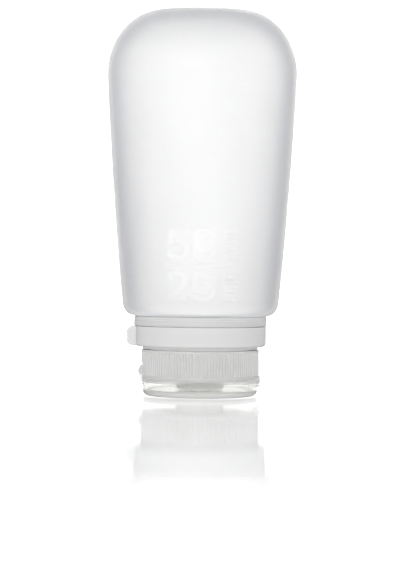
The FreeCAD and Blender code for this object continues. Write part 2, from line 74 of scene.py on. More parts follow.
class NodeDesk:
    """A node tree with short calls to place nodes and wire them."""

    def __init__(self, tree: bpy.types.NodeTree) -> None:
        """Keeps the tree and clears what is on it.

        Args:
            tree: a material's, world's or group's node tree.
        """
        self.tree = tree
        tree.nodes.clear()

    def add(self, kind: str, **settings: object) -> bpy.types.Node:
        """Places a node.

        Args:
            kind: the node's type without its ShaderNode prefix.
            settings: attributes to set on it.

        Returns:
            The new node.
        """
        prefix = "" if kind.startswith("Node") else "ShaderNode"
        node = self.tree.nodes.new(prefix + kind)
        for key, value in settings.items():
            setattr(node, key, value)
        return node

    def give(self, target: Socket, value: Socket | Colour | float) -> None:
        """Feeds an input.

        Args:
            target: the input.
            value: an output to link to it, or a colour or number to set on it.
        """
        if isinstance(value, bpy.types.NodeSocket):
            self.tree.links.new(value, target)
        elif isinstance(value, tuple):
            target.default_value = (*value, 1.0)
        else:
            target.default_value = value

    def maths(self, operation: str, first: Socket | float, second: Socket | float) -> Socket:
        """Places a Math node.

        Args:
            operation: the Math node's operation.
            first: a socket or a number.
            second: a socket or a number.

        Returns:
            The node's output.
        """
        node = self.add("Math", operation=operation)
        self.give(node.inputs[0], first)
        self.give(node.inputs[1], second)
        return node.outputs[0]

    def length(self, vector: Socket) -> Socket:
        """Measures a vector.

        Args:
            vector: the vector.

        Returns:
            Its length.
        """
        node = self.add("VectorMath", operation="LENGTH")
        self.give(node.inputs[0], vector)
        return node.outputs["Value"]

    def spread(self, source: Socket, ends: Pair) -> Socket:
        """Maps a 0 to 1 value to a range.

        Args:
            source: the value.
            ends: the results at 0 and at 1.

        Returns:
            The mapped value.
        """
        node = self.add("MapRange")
        self.give(node.inputs["Value"], source)
        self.give(node.inputs["To Min"], ends[0])
        self.give(node.inputs["To Max"], ends[1])
        return node.outputs["Result"]

    def rise(self, source: Socket, ends: Pair) -> Socket:
        """Rises softly from 0 to 1 between two values.

        Args:
            source: the value.
            ends: where the result leaves 0 and where it reaches 1.

        Returns:
            The softened value.
        """
        node = self.add("MapRange", interpolation_type="SMOOTHSTEP")
        self.give(node.inputs["Value"], source)
        self.give(node.inputs["From Min"], ends[0])
        self.give(node.inputs["From Max"], ends[1])
        return node.outputs["Result"]

    def blend(self, share: Socket, first: Socket | Colour, second: Socket | Colour) -> Socket:
        """Mixes two colours by a mask.

        Args:
            share: the mask, 0 for the first colour and 1 for the second.
            first: a socket or a colour.
            second: a socket or a colour.

        Returns:
            The mixed colour.
        """
        node = self.add("Mix", data_type="RGBA")
        self.give(node.inputs["Factor"], share)
        self.give(node.inputs["A"], first)
        self.give(node.inputs["B"], second)
        return node.outputs["Result"]

    def own_place(self) -> Socket:
        """Places the coordinates of the piece itself."""
        return self.add("TexCoord").outputs["Object"]

    def noise(self, size_mm: Socket, detail: float, distortion: float = 0.0) -> Socket:
        """Places a soft noise that stays with its piece.

        Args:
            size_mm: the size of its spots.
            detail: how many finer layers it has.
            distortion: how much it is stirred.

        Returns:
            The noise, from 0 to 1.
        """
        node = self.add("TexNoise")
        self.give(node.inputs["Vector"], self.own_place())
        self.give(node.inputs["Scale"], self.maths("DIVIDE", 1.0 / MM, size_mm))
        self.give(node.inputs["Detail"], detail)
        self.give(node.inputs["Distortion"], distortion)
        return node.outputs["Fac"]


class MaterialDesk(NodeDesk):
    """The node tree of a new material, with a Principled shader on its output."""

    def __init__(self, name: str) -> None:
        """Starts the material.

        Args:
            name: the material's name.
        """
        self.material = bpy.data.materials.new(name)
        self.material.use_nodes = True
        super().__init__(self.material.node_tree)
        self.shader = self.add("BsdfPrincipled")
        self.output = self.add("OutputMaterial")
        self.give(self.output.inputs["Surface"], self.shader.outputs["BSDF"])

    def feed(self, **values: Socket | Colour | float) -> None:
        """Feeds the shader's sockets.

        Args:
            values: what goes into each socket, whose name has underscores for spaces.
        """
        for key, value in values.items():
            self.give(self.shader.inputs[key.replace("_", " ")], value)

    def scatter(self, depth_mm: float) -> None:
        """Lets light of every colour wander under the surface, as far as the depth."""
        self.shader.inputs["Subsurface Radius"].default_value = (1.0, 1.0, 1.0)
        self.feed(Subsurface_Weight=1.0, Subsurface_Scale=depth_mm * MM)

    def bump(self, height: Socket, depth_mm: float) -> None:
        """Gives the surface a bump of a real depth.

        Args:
            height: 0 to 1 height.
            depth_mm: the depth that 1 stands for.
        """
        node = self.add("Bump")
        self.give(node.inputs["Distance"], depth_mm * MM)
        self.give(node.inputs["Height"], height)
        self.feed(Normal=node.outputs["Normal"])


@dataclass(frozen=True)
class Effect:
    """A surface effect that several materials share: a node group that is built once."""

    name: str
    inputs: tuple[tuple[str, float], ...]
    outputs: tuple[str, ...]

    def fill(self, desk: NodeDesk, given: bpy.types.Node, out: bpy.types.Node) -> None:
        """Wires the inside of the group; each effect has its own.

        Args:
            desk: the group's desk.
            given: the node with the group's inputs.
            out: the node with the group's outputs.
        """
        raise NotImplementedError

    def tree(self) -> bpy.types.NodeTree:
        """Finds the group, or builds it at the first call.

        Returns:
            The group.
        """
        if self.name in bpy.data.node_groups:
            return bpy.data.node_groups[self.name]
        tree = bpy.data.node_groups.new(self.name, "ShaderNodeTree")
        number = "NodeSocketFloat"
        for label, value in self.inputs:
            socket = tree.interface.new_socket(label, in_out="INPUT", socket_type=number)
            socket.default_value = value
        for label in self.outputs:
            tree.interface.new_socket(label, in_out="OUTPUT", socket_type=number)
        desk = NodeDesk(tree)
        self.fill(desk, desk.add("NodeGroupInput"), desk.add("NodeGroupOutput"))
        return tree

    def place(self, desk: MaterialDesk, **values: float) -> bpy.types.Node:
        """Places the effect in a material.

        Args:
            desk: the material's desk.
            values: values of the group's inputs, whose names have underscores for spaces.

        Returns:
            The group's node.
        """
        node = desk.add("Group", node_tree=self.tree())
        for key, value in values.items():
            node.inputs[key.replace("_", " ")].default_value = value
        return node


@dataclass(frozen=True)
class MouldedGrain(Effect):
    """Fine texture of a moulded face, and the soft cloudiness inside it."""

    name: str = "moulded_grain"
    inputs: tuple[tuple[str, float], ...] = (("Grain mm", 0.4), ("Cloud mm", 18.0))
    outputs: tuple[str, ...] = ("Grain", "Cloud")
    grain_detail: float = 3.0
    cloud_detail: float = 2.0

    def fill(self, desk: NodeDesk, given: bpy.types.Node, out: bpy.types.Node) -> None:
        """Wires the two noises, each from 0 to 1.

        Args:
            desk: the group's desk.
            given: the node with the group's inputs.
            out: the node with the group's outputs.
        """
        grain = desk.noise(given.outputs["Grain mm"], self.grain_detail)
        cloud = desk.noise(given.outputs["Cloud mm"], self.cloud_detail)
        desk.give(out.inputs["Grain"], grain)
        desk.give(out.inputs["Cloud"], cloud)


@dataclass(frozen=True)
class EdgeRub(Effect):
    """Edges rubbed pale in handling, broken up by a soft noise."""

    name: str = "edge_rub"
    inputs: tuple[tuple[str, float], ...] = (("Breakup mm", 4.0),)
    outputs: tuple[str, ...] = ("Rub",)
    sharpness: Pair = (0.52, 0.62)
    breakup_detail: float = 2.0

    def fill(self, desk: NodeDesk, given: bpy.types.Node, out: bpy.types.Node) -> None:
        """Wires the rubbed edges, from 0 to 1.

        Args:
            desk: the group's desk.
            given: the node with the group's inputs.
            out: the node with the group's outputs.
        """
        edge = desk.rise(desk.add("NewGeometry").outputs["Pointiness"], self.sharpness)
        breakup = desk.noise(given.outputs["Breakup mm"], self.breakup_detail)
        desk.give(out.inputs["Rub"], desk.maths("MULTIPLY", edge, breakup))


@dataclass(frozen=True)
class HandlingFilm(Effect):
    """Faint smears that fingers leave, which change the gloss a little."""

    name: str = "handling_film"
    inputs: tuple[tuple[str, float], ...] = (("Smear mm", 12.0),)
    outputs: tuple[str, ...] = ("Film",)
    smear_detail: float = 4.0
    smear_stir: float = 1.2
    smear_ends: Pair = (0.42, 0.68)

    def fill(self, desk: NodeDesk, given: bpy.types.Node, out: bpy.types.Node) -> None:
        """Wires the smears, from 0 to 1.

        Args:
            desk: the group's desk.
            given: the node with the group's inputs.
            out: the node with the group's outputs.
        """
        smear = desk.noise(given.outputs["Smear mm"], self.smear_detail, self.smear_stir)
        desk.give(out.inputs["Film"], desk.rise(smear, self.smear_ends))


@dataclass(frozen=True)
class PaintedGapGlow(Effect):
    """Painted glow in the gaps and corners of a milky material, where shade falls: emission that
    stands in for light scattered through the material.
    """

    name: str = "painted_glow"
    inputs: tuple[tuple[str, float], ...] = (("Reach mm", 4.0),)
    outputs: tuple[str, ...] = ("Gap",)
    rays: int = 8

    def fill(self, desk: NodeDesk, given: bpy.types.Node, out: bpy.types.Node) -> None:
        """Wires the painted glow's mask, the closeness of other faces, from 0 to 1.

        Args:
            desk: the group's desk.
            given: the node with the group's inputs.
            out: the node with the group's outputs.
        """
        nearby = desk.add("AmbientOcclusion", samples=self.rays)
        reach = desk.maths("MULTIPLY", given.outputs["Reach mm"], MM)
        desk.give(nearby.inputs["Distance"], reach)
        desk.give(out.inputs["Gap"], desk.maths("SUBTRACT", 1.0, nearby.outputs["AO"]))


@dataclass(frozen=True)
class MilkySilicone:
    """Soft frosted silicone that lets light through and blurs it."""

    name: str
    clear_tint: Colour
    milky_tint: Colour
    roughness: Pair
    transmission: float
    bending: float = 1.41
    scatter_mm: float = 4.0
    absorb_tint: Colour = (0.79, 0.786, 0.785)
    absorb_per_m: float = 50.0
    # Painted glow: its strength, how far into gaps it reaches, and how much of it the raised scale
    # gets.
    painted_glow: float = 0.12
    gap_reach_mm: float = 2.5
    raised_glow_share: float = 0.55
    grain_mm: float = 0.35
    grain_depth_mm: float = 0.012
    cloud_mm: float = 22.0
    smear_mm: float = 16.0
    # Painted shade and light by facing angle: the band tint darkens the wall towards its
    # silhouette, and the rim outside the band glows.
    painted_band_tint: Colour = (0.84, 0.846, 0.87)
    painted_band_from: Pair = (0.25, 0.5)
    painted_rim_from: Pair = (0.55, 0.8)
    painted_rim_glow_share: float = 0.6

    def material(self) -> bpy.types.Material:
        """Builds the material; by the facing angle the see-through wall gets a darker band of
        painted shade inside a painted glowing rim.

        Returns:
            The material.
        """
        desk = MaterialDesk(self.name)
        grain = MouldedGrain().place(desk, Grain_mm=self.grain_mm, Cloud_mm=self.cloud_mm)
        film = HandlingFilm().place(desk, Smear_mm=self.smear_mm)
        gap = PaintedGapGlow().place(desk, Reach_mm=self.gap_reach_mm)
        # Painted shade and light by facing angle: a darker band towards the silhouette, and a
        # glowing rim at its very edge.
        away = desk.add("LayerWeight").outputs["Facing"]
        rim = desk.rise(away, self.painted_rim_from)
        band = desk.maths("SUBTRACT", desk.rise(away, self.painted_band_from), rim)
        milk = desk.blend(grain.outputs["Cloud"], self.clear_tint, self.milky_tint)
        gloss = desk.maths("MULTIPLY", grain.outputs["Cloud"], film.outputs["Film"])
        # Painted glow by emission, not by the lamps: on the raised scale to make its strokes
        # whiter, in gaps and corners, and on the rim.
        raised = desk.add("Attribute", attribute_name=RAISED).outputs["Fac"]
        raised = desk.maths("MULTIPLY", raised, self.raised_glow_share)
        lit = desk.maths("MAXIMUM", raised, gap.outputs["Gap"])
        lit = desk.maths("MAXIMUM", lit, desk.maths("MULTIPLY", rim, self.painted_rim_glow_share))
        desk.feed(
            Base_Color=desk.blend(band, milk, self.painted_band_tint),
            Roughness=desk.spread(gloss, self.roughness),
            Transmission_Weight=self.transmission,
            IOR=self.bending,
            Emission_Color=desk.blend(lit, BLACK, self.milky_tint),
            Emission_Strength=self.painted_glow,
        )
        desk.scatter(self.scatter_mm)
        desk.bump(grain.outputs["Grain"], self.grain_depth_mm)
        absorb = desk.add("VolumeAbsorption")
        desk.give(absorb.inputs["Color"], self.absorb_tint)
        desk.give(absorb.inputs["Density"], self.absorb_per_m)
        desk.give(desk.output.inputs["Volume"], absorb.outputs["Volume"])
        return desk.material


@dataclass(frozen=True)
class SatinPlastic:
    """Natural, slightly see-through moulded plastic with a satin face, a thin tinted skin, and
    painted glow in its gaps and corners.

    The skin bends no light, so it has no gloss of its own: it only darkens what is seen at a slant.
    """

    name: str
    tint: Colour
    pale_tint: Colour
    roughness: Pair
    transmission: float
    bending: float = 1.49
    specular: float = 0.25
    skin_tint: Colour = (0.935, 0.935, 0.935)
    skin_roughness: float = 0.5
    skin_bending: float = 1.0
    scatter_mm: float = 3.0
    # Strength and reach of the painted glow in gaps and corners.
    painted_glow: float = 0.3
    gap_reach_mm: float = 4.0
    grain_mm: float = 0.25
    grain_depth_mm: float = 0.008
    cloud_mm: float = 9.0
    cloud_share: float = 0.6
    rub_mm: float = 3.0
    smear_mm: float = 9.0

    def material(self) -> bpy.types.Material:
        """Builds the material.

        Returns:
            The material.
        """
        desk = MaterialDesk(self.name)
        grain = MouldedGrain().place(desk, Grain_mm=self.grain_mm, Cloud_mm=self.cloud_mm)
        rub = EdgeRub().place(desk, Breakup_mm=self.rub_mm)
        film = HandlingFilm().place(desk, Smear_mm=self.smear_mm)
        gap = PaintedGapGlow().place(desk, Reach_mm=self.gap_reach_mm)
        cloud = desk.maths("MULTIPLY", grain.outputs["Cloud"], self.cloud_share)
        pale = desk.maths("MAXIMUM", rub.outputs["Rub"], cloud)
        desk.feed(
            Base_Color=desk.blend(pale, self.tint, self.pale_tint),
            Roughness=desk.spread(film.outputs["Film"], self.roughness),
            Transmission_Weight=self.transmission,
            IOR=self.bending,
            Specular_IOR_Level=self.specular,
            Coat_Weight=1.0,
            Coat_Roughness=self.skin_roughness,
            Coat_IOR=self.skin_bending,
            Coat_Tint=self.skin_tint,
            # Painted glow in gaps and corners, where shade would fall.
            Emission_Color=desk.blend(gap.outputs["Gap"], BLACK, self.tint),
            Emission_Strength=self.painted_glow,
        )
        desk.scatter(self.scatter_mm)
        desk.bump(grain.outputs["Grain"], self.grain_depth_mm)
        return desk.material


@dataclass(frozen=True)
class ClearPlastic:
    """Clear plastic with faint smears, frosted round its foot and at its lip."""

    name: str
    tint: Colour
    foot_tint: Colour
    roughness: Pair
    frost_roughness: float
    foot_mm: float
    rim_mm: float
    lip_mm: float
    smear_mm: float = 7.0
    bending: float = 1.3

    def frosted_parts(self, desk: MaterialDesk) -> tuple[Socket, Socket]:
        """Marks the foot's outer band and the lip by their heights and their way from the axis.

        Args:
            desk: the material's desk.

        Returns:
            The masks of the foot's band and of the lip.
        """
        place = desk.own_place()
        split = desk.add("SeparateXYZ")
        desk.give(split.inputs["Vector"], place)
        flat = desk.add("VectorMath", operation="MULTIPLY")
        desk.give(flat.inputs[0], place)
        flat.inputs[1].default_value = (1.0, 1.0, 0.0)
        rim = desk.maths("GREATER_THAN", desk.length(flat.outputs["Vector"]), self.rim_mm * MM)
        low = desk.maths("LESS_THAN", split.outputs["Z"], self.foot_mm * MM)
        high = desk.maths("GREATER_THAN", split.outputs["Z"], self.lip_mm * MM)
        return desk.maths("MULTIPLY", rim, low), desk.maths("MULTIPLY", rim, high)

    def material(self) -> bpy.types.Material:
        """Builds the material.

        Returns:
            The material.
        """
        desk = MaterialDesk(self.name)
        film = HandlingFilm().place(desk, Smear_mm=self.smear_mm)
        foot, lip = self.frosted_parts(desk)
        frost = desk.maths("MULTIPLY", desk.maths("MAXIMUM", foot, lip), self.frost_roughness)
        smears = desk.spread(film.outputs["Film"], self.roughness)
        desk.feed(
            Base_Color=desk.blend(foot, self.tint, self.foot_tint),
            Roughness=desk.maths("MAXIMUM", smears, frost),
            Transmission_Weight=1.0,
            IOR=self.bending,
        )
        return desk.material


@dataclass(frozen=True)
class DrawnSteel:
    """Plain drawn wire of the hinge pins."""

    name: str
    tint: Colour = (0.82, 0.82, 0.83)
    dull_tint: Colour = (0.74, 0.74, 0.75)
    roughness: Pair = (0.5, 0.6)
    grain_mm: float = 0.12
    cloud_mm: float = 2.0

    def material(self) -> bpy.types.Material:
        """Builds the material.

        Returns:
            The material.
        """
        desk = MaterialDesk(self.name)
        grain = MouldedGrain().place(desk, Grain_mm=self.grain_mm, Cloud_mm=self.cloud_mm)
        desk.feed(
            Base_Color=desk.blend(grain.outputs["Cloud"], self.tint, self.dull_tint),
            Roughness=desk.spread(grain.outputs["Grain"], self.roughness),
            Metallic=1.0,
        )
        return desk.material


def dress(solid: Solid, material: bpy.types.Material) -> None:
    """Gives a CAD node its finish.

    Args:
        solid: the CAD node.
        material: the finish.
    """
    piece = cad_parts[solid.value]
    piece.data.materials.clear()
    piece.data.materials.append(material)
    log.info("dressed %s in %s", solid.value, material.name)


def mesh_object(
    name: str, build: bmesh.types.BMesh, material: bpy.types.Material
) -> bpy.types.Object:
    """Turns a finished bmesh into an object in the scene.

    Args:
        name: the piece's name.
        build: the mesh, in metres. It is freed.
        material: the finish.

    Returns:
        The new object.
    """
    mesh = bpy.data.meshes.new(name)
    bmesh.ops.recalc_face_normals(build, faces=build.faces)
    build.to_mesh(mesh)
    build.free()
    mesh.materials.append(material)
    piece = bpy.data.objects.new(name, mesh)
    bpy.context.scene.collection.objects.link(piece)
    log.info("built %s with %d faces", name, len(mesh.polygons))
    return piece


class Numeral(Enum):
    """Plain numerals of the filling scale: points of their middle lines, one wide and one tall."""

    NOUGHT = (
        (0.0, 0.5), (0.0, 0.82), (0.16, 0.97), (0.5, 1.0), (0.84, 0.97), (1.0, 0.82),
        (1.0, 0.5), (1.0, 0.18), (0.84, 0.03), (0.5, 0.0), (0.16, 0.03), (0.0, 0.18),
    )
    TWO = (
        (0.02, 0.76), (0.14, 0.93), (0.5, 1.0), (0.86, 0.92), (0.97, 0.72), (0.8, 0.48),
        (0.45, 0.24), (0.06, 0.02), (0.06, 0.0), (0.1, 0.0), (0.5, 0.0), (1.0, 0.0),
    )
    FIVE = (
        (0.93, 1.0), (0.5, 1.0), (0.12, 1.0), (0.08, 0.99), (0.07, 0.95),
        (0.04, 0.57), (0.05, 0.54), (0.1, 0.55), (0.45, 0.63), (0.85, 0.54),
        (1.0, 0.31), (0.85, 0.07), (0.45, 0.0), (0.02, 0.09),
    )


def smooth_run(points: tuple[Pair, ...], closed: bool, steps: int) -> np.ndarray:
    """Draws a smooth line through points.

    Args:
        points: (x, height) points.
        closed: true where the last point joins the first.
        steps: points to make between two given ones.

    Returns:
        The (x, height) points of the line.
    """
    given = np.array(points)
    if closed:
        given = np.concatenate([given[-1:], given, given[:2]])
    else:
        given = np.concatenate([given[:1], given, given[-1:]])
    run = []
    for a, b, c, d in zip(given, given[1:], given[2:], given[3:]):
        slope = c - a
        bend = 2 * a - 5 * b + 4 * c - d
        twist = 3 * b - a - 3 * c + d
        for t in np.arange(steps) / steps:
            run.append(b + (slope * t + bend * t**2 + twist * t**3) / 2)
    return np.array(run + [given[-2]])


@dataclass
class SqueezeBody:
    """The silicone bottle: an oval shell with a real wall, a neck and rim, and a raised scale."""

    mouth: float = 12.6
    neck: float = 14.75
    rim: float = 16.0
    rim_foot: float = 7.55
    collar_foot: float = 8.75
    collar_seat: float = 0.001
    flange_top: float = 26.75
    root: float = 22.4
    root_top: float = 27.0
    wall: float = 2.4
    floor_wall: float = 0.8
    shoulder_reach: Pair = (4.1, 3.6)
    shoulder_rise: float = 4.7
    side_height: float = 77.2
    side_change: Pair = (5.6, -3.5)
    side_bulge: Pair = (0.45, 0.5)
    end_corner: Pair = (19.0, 17.5)
    end_height: float = 21.9
    funnel_drop: float = 0.4
    edge: float = 0.3
    shoulder_rows: int = 16
    side_rows: int = 36
    end_rows: int = 28
    end_rings: int = 6
    fine_step: float = 0.26
    fine_deg: float = 0.6
    coarse_deg: int = 2
    front_deg: int = 270
    scale_half_deg: float = 39.0
    scale_reach: float = 15.5
    scale_heights: Pair = (31.8, 57.2)
    scale_left: float = -10.2
    scale_rows: tuple[tuple[tuple[Numeral, ...], float], ...] = (
        ((Numeral.FIVE, Numeral.NOUGHT), 50.9),
        ((Numeral.TWO, Numeral.FIVE), 37.4),
    )
    scale_bar: tuple[float, float, float] = (-11.0, 10.2, 44.1)
    numeral_size: Pair = (5.4, 8.2)
    numeral_gap: float = 3.1
    stroke_width: float = 1.4
    stroke_steps: int = 8
    mark_left: float = 8.2
    long_mark: float = 3.4
    short_mark: float = 1.9
    long_mark_every: int = 3
    mark_count: int = 7
    mark_width: float = 0.6
    relief_height: float = 0.28
    relief_flank: float = 0.7
    parting_width: float = 0.8
    parting_height: float = 0.06
    parting_deg: tuple[int, int] = (0, 180)
    parting_turns: tuple[float, ...] = (-1.2, -0.8, -0.4, 0.0, 0.4, 0.8, 1.2)
    finish: MilkySilicone = MilkySilicone(
        name="body_silicone_frosted",
        clear_tint=(0.989, 0.988, 0.986),
        milky_tint=(0.995, 0.994, 0.993),
        roughness=(0.48, 0.6),
        transmission=0.75,
    )

    @property
    def side_foot(self) -> float:
        """Height where the shoulder's round ends."""
        return self.root_top + self.shoulder_rise

    def shell_sections(self, inset: float, floor: float, shares: list[float]) -> list[Vector]:
        """Half width, half depth and height of the shell's ovals.

        Args:
            inset: 0 for the outside, the wall for the inside.
            floor: 0 for the outside, the floor's thickness for the inside.
            shares: places of the side's ovals, from 0 at its foot to below 1 at its top.

        Returns:
            The ovals from the shoulder to the closed end, each as (half width, half depth, height).
        """
        ovals = []
        foot = [self.root + reach - inset for reach in self.shoulder_reach]
        for i in range(self.shoulder_rows):
            turn = math.pi / 2 * (i / self.shoulder_rows - 1)
            wide, deep = (
                self.root + (reach - inset) * math.cos(turn) for reach in self.shoulder_reach
            )
            height = self.side_foot + (self.shoulder_rise - floor) * math.sin(turn)
            ovals.append(Vector((wide, deep, height)))
        for share in shares:
            swell = 4 * share * (1 - share)
            wide, deep = (
                start + change * share + bulge * swell
                for start, change, bulge in zip(foot, self.side_change, self.side_bulge)
            )
            ovals.append(Vector((wide, deep, self.side_foot + self.side_height * share)))
        top = self.side_foot + self.side_height
        for i in range(self.end_rows + 1):
            turn = math.pi / 2 * i / self.end_rows
            wide, deep = (
                start + change - (corner - inset) * (1 - math.cos(turn))
                for start, change, corner in zip(foot, self.side_change, self.end_corner)
            )
            ovals.append(Vector((wide, deep, top + (self.end_height - inset) * math.sin(turn))))
        return ovals

    def side_shares(self, gathered: bool) -> list[float]:
        """Places of the ovals up the side.

        Args:
            gathered: true to set them close together behind the scale.

        Returns:
            The places, from 0 to below 1.
        """
        even = [i / self.side_rows for i in range(self.side_rows)]
        if not gathered:
            return even
        low, high = ((height - self.side_foot) / self.side_height for height in self.scale_heights)
        step = self.fine_step / self.side_height
        fine = [low + step * i for i in range(int((high - low) / step) + 1)]
        return sorted([share for share in even if not low - step < share < high + step] + fine)

    def column_turns(self) -> list[float]:
        """Turns of the shell's upright lines, closer together at the scale and the parting line.

        Returns:
            The turns in radians, from 0 to below a full turn.
        """
        front, half = self.front_deg, self.scale_half_deg
        count = round(2 * half / self.fine_deg)
        degrees = {round(front - half + self.fine_deg * i, 3) for i in range(count + 1)}
        degrees |= {float(d) for d in range(0, 360, self.coarse_deg) if abs(d - front) > half}
        for middle in self.parting_deg:
            degrees |= {(middle + d) % 360 for d in self.parting_turns}
        return [math.radians(d) for d in sorted(degrees)]

    def neck_sections(self) -> list[Vector]:
        """Rings of the rim, neck and root, from the mouth's inside edge to the shoulder.

        Returns:
            The rings as (radius, radius, height).
        """
        e = self.edge
        seat = self.collar_foot - self.collar_seat
        path = [
            (self.mouth, self.rim_foot + e), (self.mouth + e, self.rim_foot),
            (self.rim - e, self.rim_foot), (self.rim, self.rim_foot + e),
            (self.rim, self.collar_foot - e), (self.rim - e, seat),
            (self.neck, seat), (self.neck, self.collar_foot + e),
            (self.neck, self.flange_top - e), (self.neck + e, self.flange_top),
            (self.root - e, self.flange_top), (self.root, self.flange_top + e / 2),
        ]
        return [Vector((r, r, z)) for r, z in path]

    def bore_sections(self, floor_height: float) -> list[Vector]:
        """Rings where the inside turns down into the neck's bore.

        Args:
            floor_height: height of the inside's lowest oval.

        Returns:
            The rings as (radius, radius, height).
        """
        foot = floor_height - self.funnel_drop
        start = self.mouth + self.edge
        return [
            Vector((start, start, foot + self.edge / 2)),
            Vector((self.mouth, self.mouth, foot - self.edge)),
        ]

    def shell(self, material: bpy.types.Material) -> bpy.types.Object:
        """Builds the closed shell, outside and inside in one run of ovals, with its raised scale.

        Args:
            material: the silicone.

        Returns:
            The shell's object.
        """
        neck = self.neck_sections()
        outside = self.shell_sections(0.0, 0.0, self.side_shares(True))
        inside = self.shell_sections(self.wall, self.floor_wall, self.side_shares(False))[::-1]
        bore = self.bore_sections(inside[-1].z)
        turnover = len(neck) + len(outside)
        face = slice(len(neck), turnover)
        run = np.array([tuple(oval) for oval in neck + outside + inside + bore])
        turns = np.array(self.column_turns())
        round_x, round_y = np.cos(turns), np.sin(turns)
        heights = np.repeat(run[:, 2:3], len(turns), axis=1)
        place = np.stack([run[:, :1] * round_x, run[:, 1:2] * round_y, heights], axis=2)
        # The relief is lifted level and straight out of each oval.
        level = np.zeros((len(outside), len(turns)))
        out = np.stack([round_x / run[face, :1], round_y / run[face, 1:2], level], axis=2)
        out /= np.linalg.norm(out, axis=2, keepdims=True)
        lift = self.relief_lift(place[face])
        place[face] += out * lift[..., None]
        build = bmesh.new()
        raised = build.verts.layers.float.new(RAISED)
        rings = [[build.verts.new(point * MM) for point in ring] for ring in place]
        for ring, steps in zip(rings[face], lift / self.relief_height):
            for vert, share in zip(ring, steps):
                vert[raised] = share
        # Outside and inside meet at the mouth; their closed ends stay apart by the wall.
        for index, (low, high) in enumerate(zip(rings, rings[1:] + rings[:1])):
            if index != turnover - 1:
                self.join(build, low, high)
        for ring in (rings[turnover - 1], rings[turnover]):
            self.close_end(build, ring)
        piece = mesh_object("squeeze_body_shell", build, material)
        piece.data.shade_smooth()
        return piece

    @staticmethod
    def join(build: bmesh.types.BMesh, low: Ring, high: Ring) -> None:
        """Joins two rings of the same count with four-sided faces.

        Args:
            build: the mesh.
            low: one ring.
            high: the next ring.
        """
        for k in range(len(low)):
            n = (k + 1) % len(low)
            build.faces.new((low[k], low[n], high[n], high[k]))

    def close_end(self, build: bmesh.types.BMesh, ring: Ring) -> None:
        """Closes an oval end with shrinking rings, so that its shading stays even.

        Args:
            build: the mesh.
            ring: the end's oval.
        """
        last = ring
        for step in range(1, self.end_rings):
            share = 1 - step / self.end_rings
            new = [build.verts.new((v.co.x * share, v.co.y * share, v.co.z)) for v in ring]
            self.join(build, last, new)
            last = new
        middle = build.verts.new((0.0, 0.0, ring[0].co.z))
        for k in range(len(last)):
            build.faces.new((last[k], last[(k + 1) % len(last)], middle))

    def scale_strokes(self) -> list[tuple[np.ndarray, float]]:
        """Middle lines and widths of the filling scale: plain numbers, a bar and short marks.

        Returns:
            For each stroke its (x, height) points and its width.
        """
        strokes = []
        wide, tall = self.numeral_size
        for figures, middle in self.scale_rows:
            for index, figure in enumerate(figures):
                left = self.scale_left + index * (wide + self.numeral_gap)
                corner = np.array((left, middle - tall / 2))
                line = smooth_run(figure.value, figure is Numeral.NOUGHT, self.stroke_steps)
                strokes.append((corner + line * np.array((wide, tall)), self.stroke_width))
            for mark in range(self.mark_count):
                height = middle + tall * (mark / (self.mark_count - 1) - 0.5)
                reach = self.short_mark if mark % self.long_mark_every else self.long_mark
                ends = ((self.mark_left, height), (self.mark_left + reach, height))
                strokes.append((np.array(ends), self.mark_width))
        left, right, height = self.scale_bar
        strokes.append((np.array(((left, height), (right, height))), self.mark_width))
        return strokes

    def relief_lift(self, place: np.ndarray) -> np.ndarray:
        """How far each point of the outside stands out for the scale and for the parting line.

        Args:
            place: points of the outside, as rings of (x, y, z).

        Returns:
            The lift of each point.
        """
        x, y, z = place[..., 0], place[..., 1], place[..., 2]
        lift = self.parting_height * np.clip(1 - np.abs(y) / (self.parting_width / 2), 0, 1)
        low, high = self.scale_heights
        near = (y < 0) & (z > low) & (z < high) & (np.abs(x) < self.scale_reach)
        spots = np.stack([x[near], z[near]], axis=1)
        rise = np.zeros(len(spots))
        no_length = 1e-12
        for line, width in self.scale_strokes():
            gap = np.full(len(spots), np.inf)
            for start, end in zip(line, line[1:]):
                along = end - start
                share = np.clip((spots - start) @ along / (along @ along + no_length), 0, 1)
                away = np.linalg.norm(spots - start - share[:, None] * along, axis=1)
                gap = np.minimum(gap, away)
            flank = ((width + self.relief_flank) / 2 - gap) / self.relief_flank
            flank = np.clip(flank, 0, 1)
            rise = np.maximum(rise, flank * flank * (3 - 2 * flank) * self.relief_height)
        lift[near] += rise
        return lift

    def build(self) -> None:
        """Builds the shell and stands it in for the CAD solid."""
        shell = self.shell(self.finish.material())
        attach(shell, "bottle")
        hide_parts(Solid.BODY.value)


@dataclass
class CollarAndLoop:
    """The hard collar, the hanging loop's swinging half and its pin."""

    collar_finish: SatinPlastic = SatinPlastic(
        name="collar_plastic_satin",
        tint=(0.75, 0.75, 0.745),
        pale_tint=(0.78, 0.78, 0.78),
        roughness=(0.32, 0.45),
        transmission=0.2,
    )
    loop_finish: SatinPlastic = SatinPlastic(
        name="loop_plastic_satin",
        tint=(0.74, 0.74, 0.735),
        pale_tint=(0.79, 0.79, 0.79),
        roughness=(0.32, 0.45),
        transmission=0.05,
        scatter_mm=1.2,
    )
    pin_finish: DrawnSteel = DrawnSteel(name="loop_pin_steel")

    def build(self) -> None:
        """Dresses the three CAD nodes."""
        dress(Solid.COLLAR, self.collar_finish.material())
        dress(Solid.LOOP, self.loop_finish.material())
        dress(Solid.LOOP_PIN, self.pin_finish.material())


